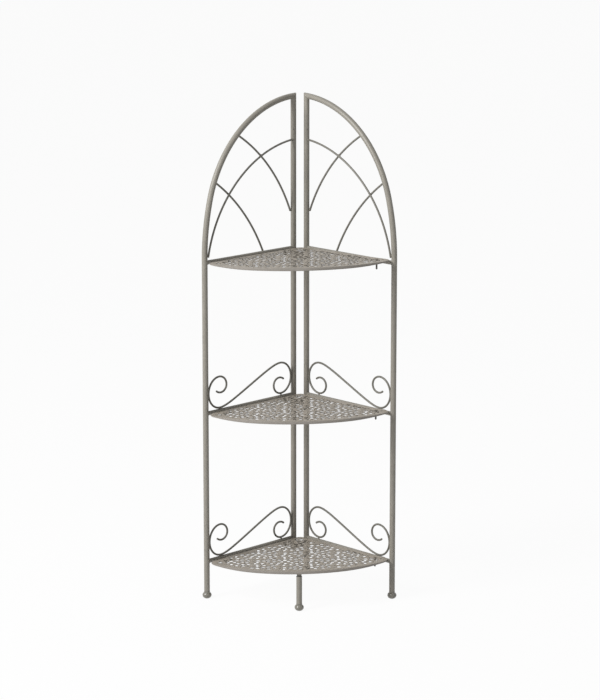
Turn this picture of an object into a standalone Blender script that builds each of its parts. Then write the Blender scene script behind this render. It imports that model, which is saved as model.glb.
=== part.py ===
"""A folding three-tier corner shelf in painted steel tube, wire and perforated sheet.

Two arched tube frames stand at a right angle and turn on straps round their inner tubes. Each
shelf swings up on a hinge along the left frame and rests on a ledge on the right frame. The leg
under the front of the bottom shelf pulls off. +Z is up, the shelves open towards -Y, and the
origin is on the floor under the middle of the unit.
"""

import math

import bmesh
import bpy
from mathutils import Matrix, Vector
from mathutils.geometry import delaunay_2d_cdt

MM = 0.001

# Whole unit
HEIGHT = 1110 * MM
PANEL_WIDTH = 271 * MM
CORNER_HALF = 14.7 * MM
TUBE_DIAMETER = 12.7 * MM
TUBE_WALL = 1 * MM
RAIL_DIAMETER = 9.5 * MM
RAIL_WALL = 1 * MM
WIRE_DIAMETER = 4.5 * MM
WELD_GAP = 0.3 * MM

# Levels
LOWEST_RAIL = 84.5 * MM
ARCH_RISE = 349.5 * MM
INNER_TAIL = 25 * MM
TIERS = ("bottom", "middle", "top")

# Arch and its wires
LEAN_RADIUS = 512 * MM
LEAN_TURN = math.radians(15.2)
ARCH_RADIUS = 274.3 * MM
LONG_WIRE_FOOT = 8.2 * MM
LONG_WIRE_RISE = 245.5 * MM
CROSS_WIRE_RISE = 87 * MM
CROSS_WIRE_TURN = math.radians(48.4)
SIDE_WIRE_REACH = 94.5 * MM
SIDE_WIRE_TURN = math.radians(22.7)
LONG_BULGE_SHARE = 0.163
CROSS_BULGE_SHARE = -0.080
SIDE_BULGE_SHARE = -0.067

# Scrolls
SCROLL_HEIGHT = 72 * MM
SCROLL_LOOP_RADIUS = 35.2 * MM
SCROLL_TAIL_TURN = math.radians(42)
SCROLL_HANDLE_SHARES = (0.17, 0.64, 1.24)
SCROLL_QUARTER_SHARES = ((0.94, 1), (0.9, 1), (0.63, 0.58), (0.49, 0.46), (0.55, 0.5))

# Feet and plug
FOOT_DIAMETER = 20.8 * MM
FOOT_HEIGHT = 16 * MM
FOOT_FLAT_SHARE = 0.5
SPIGOT_LENGTH = 12 * MM
PLUG_FLANGE = 1.5 * MM

# Shelves
SHELF_PAST_PANEL = 17 * MM
TIP_RADIUS = 24 * MM
APEX_RADIUS = 12 * MM
SHEET = 0.9 * MM
RIM_DEPTH = 6.5 * MM
RIM_RUN = math.radians(24)
HEM_DEPTH = 1.6 * MM
BEND = 2.2 * MM
SHELF_TILT = math.radians(1.65)
TUBE_CLEARANCE = 0.85 * MM
SIDE_BORDER = 8 * MM
FRONT_BORDER = 10 * MM
MOTIF_PITCH = 84.5 * MM
ROSETTE_HOLE = 4.2 * MM
ROSETTE_RADIUS = 14 * MM
PETAL_LENGTH = 12 * MM
PETAL_WIDTH = 7 * MM
PETALS = 4
TIP_HOLE = 2 * MM

# Shelf hinges
KNUCKLE_RADIUS = 2.8 * MM
HINGE_PIN_RADIUS = 1.5 * MM
PIVOT_BELOW_RAIL = 3.25 * MM
FOLD_CLEARANCE = 0.75 * MM
LUG_WIDTH = 8 * MM
LUG_THICKNESS = 2 * MM
SWEEP_CLEARANCE = 0.5 * MM
LUG_ANGLES = (math.radians(194), math.radians(248), math.radians(290))
CLIP_LENGTH = 18 * MM
CLIP_SHEET = 1.2 * MM
CLIP_KNUCKLE = 5 * MM
RUNNING_GAP = 0.4 * MM
PIN_HEAD = 0.8 * MM
HINGE_NEAR = 35 * MM
HINGE_FROM_TIP = 63 * MM

# Right-hand rest and stop
LEDGE_FROM_TIP = 45 * MM
LEDGE_WIDTH = 14 * MM
LEDGE_REACH = 13 * MM
LEDGE_THICKNESS = 2 * MM
STOP_FROM_TIP = 60 * MM
STOP_INSET = 10.5 * MM
STOP_DIAMETER = 4 * MM
STOP_BELOW_RAIL = 18 * MM

# Corner straps
STRAP_HEIGHT = 14 * MM
STRAP_SHEET = 1.2 * MM
STRAP_WAIST = 3 * MM
STRAP_BELOW_RAIL = 9.5 * MM
RIVET_DIAMETER = 3 * MM
RIVET_HEAD_DIAMETER = 6.5 * MM
RIVET_HEAD = 1.4 * MM

# Front leg
LEG_INSET = 8.5 * MM
STUB_DIAMETER = 10.8 * MM
STUB_BELOW_RAIL = 3.2 * MM
STUB_NECK = 3 * MM
STUB_SPIGOT = 22 * MM

# Facets
TUBE_SIDES = 12
WIRE_SIDES = 6
PIN_SIDES = 10
STRAP_SIDES = 16
LEAN_STEPS = 4
ARCH_STEPS = 16
SCROLL_STEPS = 5
SLIDE_ROUNDS = 6
ROUND_STEPS = 12
OVERRUN = 2 * MM

# Sizes that follow from the ones above
TUBE_R = TUBE_DIAMETER / 2
RAIL_R = RAIL_DIAMETER / 2
WIRE_R = WIRE_DIAMETER / 2
BORE_R = TUBE_R - TUBE_WALL
FOOT_R = FOOT_DIAMETER / 2
SPIGOT_R = BORE_R - WELD_GAP
DIAGONAL = math.sqrt(0.5)
SHELF_RADIUS = PANEL_WIDTH + SHELF_PAST_PANEL
HINGE_PLACES = (HINGE_NEAR, SHELF_RADIUS - HINGE_FROM_TIP)
LEDGE_PLACE = SHELF_RADIUS - LEDGE_FROM_TIP
STOP_PLACE = SHELF_RADIUS - STOP_FROM_TIP
LEG_REACH = SHELF_RADIUS - LEG_INSET
CORNER_Y = LEG_REACH / 2
CORNER_STEP = CORNER_HALF * DIAGONAL
ARCH_CENTRE = PANEL_WIDTH - LEAN_RADIUS + (LEAN_RADIUS - ARCH_RADIUS) * math.cos(LEAN_TURN)
ARCH_END = math.acos(-ARCH_CENTRE / ARCH_RADIUS)
MITRE_SLOPE = 1 / math.tan(ARCH_END / 2)
MITRE_HEIGHT = HEIGHT - TUBE_R * MITRE_SLOPE
ARCH_LEVEL = MITRE_HEIGHT - ARCH_RADIUS * math.sin(ARCH_END)
LEAN_LEVEL = ARCH_LEVEL - (LEAN_RADIUS - ARCH_RADIUS) * math.sin(LEAN_TURN)
EDGE_GAP = TUBE_R + TUBE_CLEARANCE
EDGE = EDGE_GAP - CORNER_STEP
HINGE_DROP = SHEET + WELD_GAP + KNUCKLE_RADIUS
PIVOT_IN = TUBE_R + FOLD_CLEARANCE + HINGE_DROP
SWEEP = math.hypot(PIVOT_IN - EDGE_GAP, HINGE_DROP) + SWEEP_CLEARANCE
RAIL_PITCH = (HEIGHT - ARCH_RISE - LOWEST_RAIL) / (len(TIERS) - 1)
RAIL_LEVELS = {tier: LOWEST_RAIL + i * RAIL_PITCH for i, tier in enumerate(TIERS)}


def clear_scene():
    for obj in list(bpy.data.objects):
        bpy.data.objects.remove(obj, do_unlink=True)


def paint(name, colour, roughness, metallic):
    material = bpy.data.materials.new(name)
    material.use_nodes = True
    shader = material.node_tree.nodes["Principled BSDF"]
    shader.inputs["Base Color"].default_value = (*colour, 1)
    shader.inputs["Roughness"].default_value = roughness
    shader.inputs["Metallic"].default_value = metallic
    return material


def finish_colour(name):
    """Each piece's own colour, roughness and metallic value."""
    if "foot" in name or "plug" in name:
        return (0.20, 0.19, 0.165), 0.45, 0.0
    if "pin" in name or "rivet" in name:
        return (0.09, 0.085, 0.075), 0.4, 0.6
    if "plate" in name:
        return (0.33, 0.31, 0.28), 0.42, 0.0
    if "wire" in name or "scroll" in name:
        return (0.17, 0.165, 0.145), 0.42, 0.0
    return (0.27, 0.255, 0.225), 0.42, 0.0


def make_empty(name, matrix, parent=None):
    empty = bpy.data.objects.new(name, None)
    bpy.context.collection.objects.link(empty)
    empty.parent = parent
    empty.matrix_world = matrix
    bpy.context.view_layer.update()
    return empty


def make_object(name, bm, parent, local=None, smooth=True):
    """A named solid with its own paint. local places it in its parent's space."""
    bmesh.ops.remove_doubles(bm, verts=bm.verts, dist=WELD_GAP / 100)
    bmesh.ops.recalc_face_normals(bm, faces=bm.faces)
    mesh = bpy.data.meshes.new(name)
    bm.to_mesh(mesh)
    bm.free()
    if smooth:
        mesh.shade_smooth()
        mesh.set_sharp_from_angle(angle=math.radians(40))
    mesh.materials.append(paint(name + "_paint", *finish_colour(name)))
    obj = bpy.data.objects.new(name, mesh)
    bpy.context.collection.objects.link(obj)
    obj.parent = parent
    obj.matrix_local = local or Matrix.Identity(4)
    return obj


def cut(obj, cutter):
    """Takes the cutter, which stays as a hidden guide, out of the object."""
    cutter.hide_render = True
    cutter.display_type = "WIRE"
    modifier = obj.modifiers.new("cut", "BOOLEAN")
    modifier.operation = "DIFFERENCE"
    modifier.solver = "EXACT"
    modifier.object = cutter


def ring_faces(bm, first, second):
    count = len(first)
    for i in range(count):
        j = (i + 1) % count
        bm.faces.new((first[i], first[j], second[j], second[i]))


def loft(bm, rings, close=False):
    """Walls between rings of points with equal counts. close joins the last ring to the first."""
    rows = [[bm.verts.new(point) for point in ring] for ring in rings]
    for first, second in zip(rows, rows[1:]):
        ring_faces(bm, first, second)
    if close:
        ring_faces(bm, rows[-1], rows[0])
    return rows


def circle(radius, sides, start=0.0):
    turn = 2 * math.pi / sides
    return [(radius * math.cos(start + i * turn), radius * math.sin(start + i * turn)) for i in range(sides)]


def arc(centre, radius, start, end, steps):
    turn = (end - start) / steps
    return [
        (centre[0] + radius * math.cos(start + i * turn), centre[1] + radius * math.sin(start + i * turn))
        for i in range(steps + 1)
    ]


def bulged(start, end, share, steps):
    """An arc from start to end that stands off the chord, to its left, by a share of its length."""
    chord = Vector(end) - Vector(start)
    rise = abs(share) * chord.length
    radius = rise / 2 + chord.length_squared / (8 * rise)
    left = Vector((-chord.y, chord.x)).normalized() * math.copysign(1, share)
    centre = (Vector(start) + Vector(end)) / 2 + left * (rise - radius)
    first = Vector(start) - centre
    half = math.asin(chord.length / 2 / radius)
    turn = -math.copysign(2 * half / steps, share)
    points = []
    for i in range(steps + 1):
        c, s = math.cos(i * turn), math.sin(i * turn)
        points.append((centre.x + c * first.x - s * first.y, centre.y + s * first.x + c * first.y))
    return points


def mirrored(way, chord):
    return (2 * way.dot(chord) * chord - way * chord.length_squared).normalized()


def directions(path):
    """The unit direction of a flat path at each of its points, true at the ends of an arc too."""
    points = [Vector(p) for p in path]
    if len(points) == 2:
        return [(points[1] - points[0]).normalized()] * 2
    ways = [(after - before).normalized() for before, after in zip(points, points[2:])]
    first = mirrored(ways[0], points[1] - points[0])
    last = mirrored(ways[-1], points[-1] - points[-2])
    return [first, *ways, last]


def sweep_rings(path, radius, sides, depth=0.0):
    """Rings round a path given as (along the panel, height), lying depth in from the panel."""
    rings = []
    for (s, z), way in zip(path, directions(path)):
        rings.append([(s + a * way.y, depth + b, z - a * way.x) for a, b in circle(radius, sides)])
    return rings


def slid(point, way, distance):
    """Moves a point along way until its distance from a tube's surface is the weld gap."""
    for _ in range(SLIDE_ROUNDS):
        here = distance(point)
        slope = (distance(point + way * WELD_GAP) - here) / WELD_GAP
        point = point - way * (here - WELD_GAP) / slope
    return point


def solid_rod(path, radius, sides, depth=0.0, seats=(None, None)):
    """A rod along a path. seats give the distance from the tube that each end is shaped to."""
    bm = bmesh.new()
    rings = sweep_rings(path, radius, sides, depth)
    ways = directions(path)
    middles = {}
    for end, seat in zip((0, -1), seats):
        if seat:
            way = Vector((ways[end].x, 0, ways[end].y))
            middles[end] = slid(Vector((path[end][0], depth, path[end][1])), way, seat)
            rings[end] = [slid(Vector(p), way, seat) for p in rings[end]]
    rows = loft(bm, rings)
    for end, around in ((0, rows[0][::-1]), (-1, rows[-1])):
        if end in middles:
            middle = bm.verts.new(middles[end])
            for first, second in zip(around, around[1:] + around[:1]):
                bm.faces.new((first, second, middle))
        else:
            bm.faces.new(around)
    return bm


def turned(profile, sides, bore=False):
    """A solid turned about Z from (radius, height) points, closed at its ends or through a bore."""
    bm = bmesh.new()
    rings = [[(x, y, z) for x, y in circle(r, sides)] for r, z in profile]
    rows = loft(bm, rings, close=bore)
    if not bore:
        bm.faces.new(reversed(rows[0]))
        bm.faces.new(rows[-1])
    return bm


def outside(point, polygon):
    inside = False
    for (x0, y0), (x1, y1) in zip(polygon, polygon[1:] + polygon[:1]):
        if (y0 > point[1]) != (y1 > point[1]):
            if point[0] < (x1 - x0) * (point[1] - y0) / (y1 - y0) + x0:
                inside = not inside
    return not inside


def flat_faces(outline, holes):
    """Points and triangles that fill an outline and leave its holes open."""
    loops = [outline, *holes]
    points, edges = [], []
    for loop in loops:
        first, count = len(points), len(loop)
        points += [Vector(p) for p in loop]
        edges += [(first + i, first + (i + 1) % count) for i in range(count)]
    found = delaunay_2d_cdt(points, edges, [], 1, 1e-9)
    triangles = []
    for face in found[2]:
        corners = [found[0][i] for i in face]
        middle = sum(corners, Vector((0, 0))) / len(corners)
        near = [hole for hole in holes if not outside(middle, hole)]
        if not near:
            triangles.append([tuple(corner) for corner in corners])
    return triangles


def fill_level(bm, triangles, level, upwards):
    for corners in triangles:
        verts = [bm.verts.new((x, y, level)) for x, y in (corners if upwards else reversed(corners))]
        bm.faces.new(verts)


def extruded(outline, holes, low, high):
    """A flat outline with holes, given thickness along Z."""
    bm = bmesh.new()
    triangles = flat_faces(outline, holes)
    fill_level(bm, triangles, high, True)
    fill_level(bm, triangles, low, False)
    for loop in [outline, *holes]:
        loft(bm, [[(x, y, level) for x, y in loop] for level in (low, high)])
    return bm


def stood_up(bm):
    """Turns a shape drawn in X and Y so that it stands in Y and Z and its thickness runs along X."""
    turn = Matrix(((0, 0, 1, 0), (1, 0, 0, 0), (0, 1, 0, 0), (0, 0, 0, 1)))
    bm.transform(turn)
    return bm


def panel_matrix(side):
    """A panel's space: X along it from its inner tube, Z up. side is -1 on the left, 1 on the right."""
    along = Vector((side * DIAGONAL, -DIAGONAL, 0))
    up = Vector((0, 0, 1))
    across = up.cross(along)
    matrix = Matrix((along, across, up)).transposed().to_4x4()
    matrix.translation = (side * CORNER_HALF, CORNER_Y, 0)
    return matrix


def inwards(side):
    """The sign of the panel's own Y axis that points at the shelves."""
    return -side


def tube_rings(path, radius, mitred):
    rings = sweep_rings(path, radius, TUBE_SIDES)
    if mitred:
        way = directions(path)[-1]
        middle = Vector(path[-1])
        last = []
        for x, y, z in rings[-1]:
            lift = (Vector((x, z)) - middle).dot(Vector((way.y, -way.x))) * MITRE_SLOPE - WELD_GAP / 2
            last.append((x + way.x * lift, y, z + way.y * lift))
        rings[-1] = last
    return rings


def hollow_tube(path, mitred=False):
    bm = bmesh.new()
    outer = tube_rings(path, TUBE_R, mitred)
    inner = tube_rings(path, BORE_R, mitred)
    loft(bm, outer + inner[::-1], close=True)
    return bm


def outer_tube(name, frame):
    foot_top = FOOT_HEIGHT + WELD_GAP
    path = [(PANEL_WIDTH, foot_top)]
    path += arc((PANEL_WIDTH - LEAN_RADIUS, LEAN_LEVEL), LEAN_RADIUS, 0, LEAN_TURN, LEAN_STEPS)
    path += arc((ARCH_CENTRE, ARCH_LEVEL), ARCH_RADIUS, LEAN_TURN, ARCH_END, ARCH_STEPS)[1:]
    bm = hollow_tube(path, mitred=True)
    make_object(name, bm, frame)


def inner_tube(name, frame, bottom):
    """The straight tube, whose top is cut to the slope of the arch's mitre."""
    bm = bmesh.new()
    rings = []
    for radius in (TUBE_R, BORE_R):
        low = [(x, y, bottom) for x, y in circle(radius, TUBE_SIDES)]
        high = [(x, y, MITRE_HEIGHT - x * MITRE_SLOPE - WELD_GAP / 2) for x, y in circle(radius, TUBE_SIDES)]
        rings += [low, high] if radius == TUBE_R else [high, low]
    loft(bm, rings, close=True)
    make_object(name, bm, frame)


def outer_reach(level):
    """How far along the panel the outer tube's axis stands at a level."""
    lean = level - LEAN_LEVEL
    if lean < 0:
        return PANEL_WIDTH
    if lean < LEAN_RADIUS * math.sin(LEAN_TURN):
        return PANEL_WIDTH - LEAN_RADIUS + math.sqrt(LEAN_RADIUS**2 - lean**2)
    return ARCH_CENTRE + math.sqrt(ARCH_RADIUS**2 - (level - ARCH_LEVEL) ** 2)


def rail(name, frame, level):
    """A rail whose ends are shaped to the tubes they meet."""
    bm = bmesh.new()
    seat = TUBE_R + WELD_GAP
    rings = []
    for radius in (RAIL_R, RAIL_R - RAIL_WALL):
        near = [(math.sqrt(seat**2 - a**2), a, level + b) for a, b in circle(radius, TUBE_SIDES)]
        far = [(outer_reach(z) - x, y, z) for x, y, z in near]
        rings += [near, far] if radius == RAIL_R else [far, near]
    loft(bm, rings, close=True)
    make_object(name, bm, frame)


def arch_point(turn, inset):
    reach = ARCH_RADIUS - TUBE_R - WELD_GAP - inset
    return (ARCH_CENTRE + reach * math.cos(turn), ARCH_LEVEL + reach * math.sin(turn))


def from_inner_tube(point):
    return math.hypot(point.x, point.y) - TUBE_R


def from_top_rail(point):
    return math.hypot(point.y, point.z - RAIL_LEVELS["top"]) - RAIL_R


def from_arch(point):
    reach = math.hypot(point.x - ARCH_CENTRE, point.z - ARCH_LEVEL)
    half_step = (ARCH_END - LEAN_TURN) / ARCH_STEPS / 2
    return math.hypot(reach - ARCH_RADIUS * math.cos(half_step), point.y) - TUBE_R


def arch_wires(label, frame, side):
    """Three bent wires in the arch. The long one lies on the shelves' side of the other two."""
    rail_top = RAIL_LEVELS["top"] + RAIL_R + WELD_GAP
    side_of_tube = TUBE_R + WELD_GAP
    step = inwards(side) * (WIRE_R + WELD_GAP / 2)
    low = rail_top + LONG_WIRE_FOOT
    corner = (outer_reach(low) - side_of_tube - WIRE_R, low)
    shoulder = (side_of_tube, RAIL_LEVELS["top"] + LONG_WIRE_RISE)
    hip = (side_of_tube + WIRE_R, RAIL_LEVELS["top"] + CROSS_WIRE_RISE)
    toe = (SIDE_WIRE_REACH, rail_top + WIRE_R / 2)
    arch = (arch_point(CROSS_WIRE_TURN, 0), arch_point(SIDE_WIRE_TURN, 0))
    wires = {
        "long": (shoulder, corner, LONG_BULGE_SHARE, step, (from_inner_tube, None)),
        "cross": (arch[0], hip, CROSS_BULGE_SHARE, -step, (from_arch, from_inner_tube)),
        "side": (arch[1], toe, SIDE_BULGE_SHARE, -step, (from_arch, from_top_rail)),
    }
    for name, (start, end, share, depth, seats) in wires.items():
        path = bulged(start, end, share, ROUND_STEPS)
        rod = solid_rod(path, WIRE_R, WIRE_SIDES, depth, seats)
        make_object(f"{label}_arch_{name}_wire", rod, frame)


def half_scroll():
    """From the scroll's middle down to its foot, then round four quarter turns to a short tail."""
    radius = SCROLL_LOOP_RADIUS
    across = PANEL_WIDTH / 2 - TUBE_R - WELD_GAP - WIRE_R - SCROLL_QUARTER_SHARES[0][0] * radius
    foot = (across, -SCROLL_HEIGHT / 2)
    near, far, run = SCROLL_HANDLE_SHARES
    handles = [(0, 0), (far * across, far * run * foot[1]), (across - near * across, foot[1]), foot]
    points = []
    for t in spread(0, 1, SCROLL_STEPS)[:-1]:
        weights = ((1 - t) ** 3, 3 * t * (1 - t) ** 2, 3 * t**2 * (1 - t), t**3)
        points.append(tuple(sum(w * h[k] for w, h in zip(weights, handles)) for k in (0, 1)))
    points.append(foot)
    for i, (wide, high) in enumerate(SCROLL_QUARTER_SHARES):
        wide, high = wide * radius, high * radius
        start = (i - 1) * math.pi / 2
        last = i == len(SCROLL_QUARTER_SHARES) - 1
        turn = SCROLL_TAIL_TURN if last else math.pi / 2
        x, y = points[-1]
        x, y = x - wide * math.cos(start), y - high * math.sin(start)
        steps = SCROLL_STEPS - i // 2
        points += [(x + wide * math.cos(a), y + high * math.sin(a)) for a in spread(start, start + turn, steps)[1:]]
    return points


def scroll(name, frame, level):
    half = half_scroll()
    middle = (PANEL_WIDTH / 2, level + RAIL_R + WELD_GAP + WIRE_R + SCROLL_HEIGHT / 2)
    path = [(middle[0] - s, middle[1] - z) for s, z in reversed(half[1:])]
    path += [(middle[0] + s, middle[1] + z) for s, z in half]
    make_object(name, solid_rod(path, WIRE_R, WIRE_SIDES), frame)


def foot_profile():
    """A flattened ball with a flat underside and a spigot that goes up inside its tube."""
    flat = FOOT_R * FOOT_FLAT_SHARE
    low = math.acos(flat / FOOT_R)
    high = math.acos((TUBE_R + WELD_GAP) / FOOT_R)
    rise = FOOT_HEIGHT / (math.sin(low) + math.sin(high))
    middle = rise * math.sin(low)
    ball = [(FOOT_R * math.cos(a), middle + rise * math.sin(a)) for a in spread(-low, high, 8)]
    return [*ball, (SPIGOT_R, FOOT_HEIGHT), (SPIGOT_R, FOOT_HEIGHT + SPIGOT_LENGTH)]


def spread(low, high, steps):
    return [low + (high - low) * i / steps for i in range(steps + 1)]


def foot(name, parent, place, turn=0.0):
    local = Matrix.Translation(place) @ Matrix.Rotation(turn, 4, "Z")
    make_object(name, turned(foot_profile(), TUBE_SIDES), parent, local)


def plug(name, frame, bottom):
    profile = [(TUBE_R, bottom - WELD_GAP - PLUG_FLANGE), (TUBE_R, bottom - WELD_GAP)]
    profile += [(SPIGOT_R, bottom - WELD_GAP), (SPIGOT_R, bottom + SPIGOT_LENGTH)]
    make_object(name, turned(profile, TUBE_SIDES), frame)


def side_frame(label, side):
    frame = make_empty(f"{label}_frame", panel_matrix(side))
    outer_tube(f"{label}_outer_tube", frame)
    foot(f"{label}_outer_foot", frame, (PANEL_WIDTH, 0, 0), math.pi / 4)
    for tier, level in RAIL_LEVELS.items():
        rail(f"{label}_rail_{tier}", frame, level)
    arch_wires(label, frame, side)
    for tier in TIERS[:2]:
        scroll(f"{label}_scroll_{tier}", frame, RAIL_LEVELS[tier])
    return frame


def corner_strap(tier, parent, level):
    """A band round both inner tubes, pinched and riveted between them."""
    top = level - STRAP_BELOW_RAIL
    inner = TUBE_R + WELD_GAP
    outer = inner + STRAP_SHEET
    pinch = math.asin(STRAP_WAIST / 2 / outer)
    outline = arc((2 * CORNER_HALF, 0), outer, -math.pi + pinch, math.pi - pinch, ROUND_STEPS)
    outline += arc((0, 0), outer, pinch, 2 * math.pi - pinch, ROUND_STEPS)
    holes = [circle(inner, STRAP_SIDES)]
    holes.append([(x + 2 * CORNER_HALF, y) for x, y in holes[0]])
    strap = make_object(f"corner_strap_{tier}", extruded(outline, holes, top - STRAP_HEIGHT, top), parent)
    half = STRAP_WAIST / 2
    lie = Matrix.Translation((CORNER_HALF, 0, top - STRAP_HEIGHT / 2)) @ Matrix.Rotation(math.pi / 2, 4, "X")
    shank = RIVET_DIAMETER / 2
    reach = half + OVERRUN
    hole = turned([(shank + WELD_GAP, -reach), (shank + WELD_GAP, reach)], PIN_SIDES)
    cut(strap, make_object(f"corner_strap_{tier}_hole", hole, parent, lie))
    face = half + WELD_GAP
    head = RIVET_HEAD_DIAMETER / 2
    crown = head * DIAGONAL
    profile = [(crown, -face - RIVET_HEAD), (head, -face), (shank, -face)]
    profile += [(shank, face), (head, face), (crown, face + RIVET_HEAD)]
    make_object(f"corner_rivet_{tier}", turned(profile, PIN_SIDES), parent, lie)


def shelf_outline(inset):
    """The shelf's edge moved inwards: X runs along the left rail and Y along the right one."""
    edge = EDGE + inset
    tip = TIP_RADIUS - inset
    apex = APEX_RADIUS - inset
    centre = (math.sqrt((SHELF_RADIUS - TIP_RADIUS) ** 2 - (EDGE + TIP_RADIUS) ** 2), EDGE + TIP_RADIUS)
    turn = math.atan2(centre[1], centre[0])
    quarter = math.pi / 2
    points = arc(centre, tip, -quarter, turn, 6)
    points += arc((0, 0), SHELF_RADIUS - inset, turn, quarter - turn, ROUND_STEPS)[1:-1]
    points += arc(centre[::-1], tip, quarter - turn, math.pi, 6)
    points += arc((edge + apex, edge + apex), apex, math.pi, 3 * quarter, 4)
    return points


def rim_depths():
    """How far the edge is turned down at each point of the outline: little except round the front."""
    depths = []
    for x, y in shelf_outline(0):
        low = max(0, min(math.atan2(y, x), math.atan2(x, y)))
        share = math.sin(min(1, low / RIM_RUN) * math.pi / 2)
        if math.hypot(x, y) < SHELF_RADIUS - TIP_RADIUS:
            share = 0
        depths.append(HEM_DEPTH + (RIM_DEPTH - HEM_DEPTH) * share)
    return depths


def petal(x, y, angle):
    c, s = math.cos(angle), math.sin(angle)
    corners = ((PETAL_LENGTH / 2, 0), (0, PETAL_WIDTH / 2), (-PETAL_LENGTH / 2, 0), (0, -PETAL_WIDTH / 2))
    return [(x + c * a - s * b, y + s * a + c * b) for a, b in corners]


def rosette(x, y):
    """A round hole in a ring of petals."""
    holes = [[(x + a, y + b) for a, b in circle(ROSETTE_HOLE, 6)]]
    for i in range(PETALS):
        angle = 2 * math.pi * i / PETALS
        holes.append(petal(x + ROSETTE_RADIUS * math.cos(angle), y + ROSETTE_RADIUS * math.sin(angle), angle))
    return holes


def punched_holes():
    """Rosettes on a square lattice, with a single hole between them, where the border leaves room."""
    holes = []
    half = MOTIF_PITCH / 2
    count = int(SHELF_RADIUS / half) + 1
    for i in range(count):
        for j in range(count):
            x, y = (i + 0.5) * half, (j + 0.5) * half
            if (i + j) % 2 == 0:
                holes += rosette(x, y)
            else:
                holes.append([(x + a, y + b) for a, b in circle(ROSETTE_HOLE, 6)])
    low = EDGE + SIDE_BORDER
    far = SHELF_RADIUS - FRONT_BORDER
    kept = [h for h in holes if all(x > low and y > low and math.hypot(x, y) < far for x, y in h)]
    reach = SHELF_RADIUS - TIP_RADIUS + EDGE
    tip = [(reach + a, EDGE + TIP_RADIUS / 2 + b) for a, b in circle(TIP_HOLE, 6)]
    return [*kept, tip, [(y, x) for x, y in reversed(tip)]]


def shelf_plate(name, shelf):
    """Perforated sheet with its edge bent down, a little along the sides and deeper at the front."""
    bm = bmesh.new()
    depths = rim_depths()
    holes = punched_holes()
    steps = [(BEND, 0, 0), (BEND / 3, -BEND / 4, 0), (0, -BEND * DIAGONAL, 0), (0, 0, 1)]
    steps += [(SHEET, 0, 1), (SHEET, -BEND * DIAGONAL, 0), (BEND, -SHEET, 0)]
    rings = []
    for inset, level, deep in steps:
        outline = shelf_outline(inset)
        rings.append([(x, y, level - deep * depth) for (x, y), depth in zip(outline, depths)])
    loft(bm, rings[::-1])
    triangles = flat_faces(shelf_outline(BEND), holes)
    fill_level(bm, triangles, 0, True)
    fill_level(bm, triangles, -SHEET, False)
    for hole in holes:
        loft(bm, [[(x, y, level) for x, y in hole] for level in (0, -SHEET)])
    place = Matrix.Translation((-CORNER_STEP, CORNER_STEP - PIVOT_IN, HINGE_DROP))
    make_object(name, bm, shelf, place)


def knuckle_hole():
    return circle(HINGE_PIN_RADIUS + WELD_GAP, ROUND_STEPS)


def hinge_lug(name, frame, place, level):
    """A bent strap under the rail that carries the middle knuckle, clear of the shelf's swing."""
    low, neck, back = LUG_ANGLES
    turn = 2 * math.pi
    outline = arc((0, 0), KNUCKLE_RADIUS, back, neck + turn, 14)
    outline += arc((0, 0), SWEEP, neck, low, 5)
    outline += arc((0, 0), SWEEP + LUG_THICKNESS, low, back, 8)
    bm = stood_up(extruded(outline, [knuckle_hole()], -LUG_WIDTH / 2, LUG_WIDTH / 2))
    make_object(name, bm, frame, Matrix.Translation((place, PIVOT_IN, level - PIVOT_BELOW_RAIL)))


def hinge_clip(name, shelf, place):
    """A leaf under the sheet that is rolled into a knuckle on each side of the lug."""
    meet = math.asin(1 - CLIP_SHEET / KNUCKLE_RADIUS)
    outline = arc((0, 0), KNUCKLE_RADIUS, math.pi / 2, 2 * math.pi + meet, 14)
    outline += [(CLIP_LENGTH, KNUCKLE_RADIUS - CLIP_SHEET), (CLIP_LENGTH, KNUCKLE_RADIUS)]
    half = LUG_WIDTH / 2 + RUNNING_GAP + CLIP_KNUCKLE
    clip = make_object(name, stood_up(extruded(outline, [knuckle_hole()], -half, half)), shelf)
    clip.location.x = place
    reach = KNUCKLE_RADIUS + RUNNING_GAP
    slot = arc((0, 0), reach, 0, 2 * math.pi, ROUND_STEPS)[:-1]
    slot = [(x, y * 2) for x, y in slot]
    width = LUG_WIDTH / 2 + RUNNING_GAP
    cutter = make_object(name + "_slot", stood_up(extruded(slot, [], -width, width)), shelf)
    cutter.location.x = place
    cut(clip, cutter)


def hinge_pin(name, shelf, place):
    half = LUG_WIDTH / 2 + RUNNING_GAP + CLIP_KNUCKLE + WELD_GAP
    head = KNUCKLE_RADIUS
    profile = [(head, -half - PIN_HEAD), (head, -half), (HINGE_PIN_RADIUS, -half), (HINGE_PIN_RADIUS, half + PIN_HEAD)]
    lie = Matrix.Translation((place, 0, 0)) @ Matrix.Rotation(math.pi / 2, 4, "Y")
    make_object(name, turned(profile, PIN_SIDES), shelf, lie)


def shelf_top(distance):
    """Height of the shelf's upper face over the left rail's axis, this far in from that rail."""
    rise = (distance - PIVOT_IN) * math.tan(SHELF_TILT)
    return HINGE_DROP / math.cos(SHELF_TILT) - PIVOT_BELOW_RAIL + rise


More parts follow.
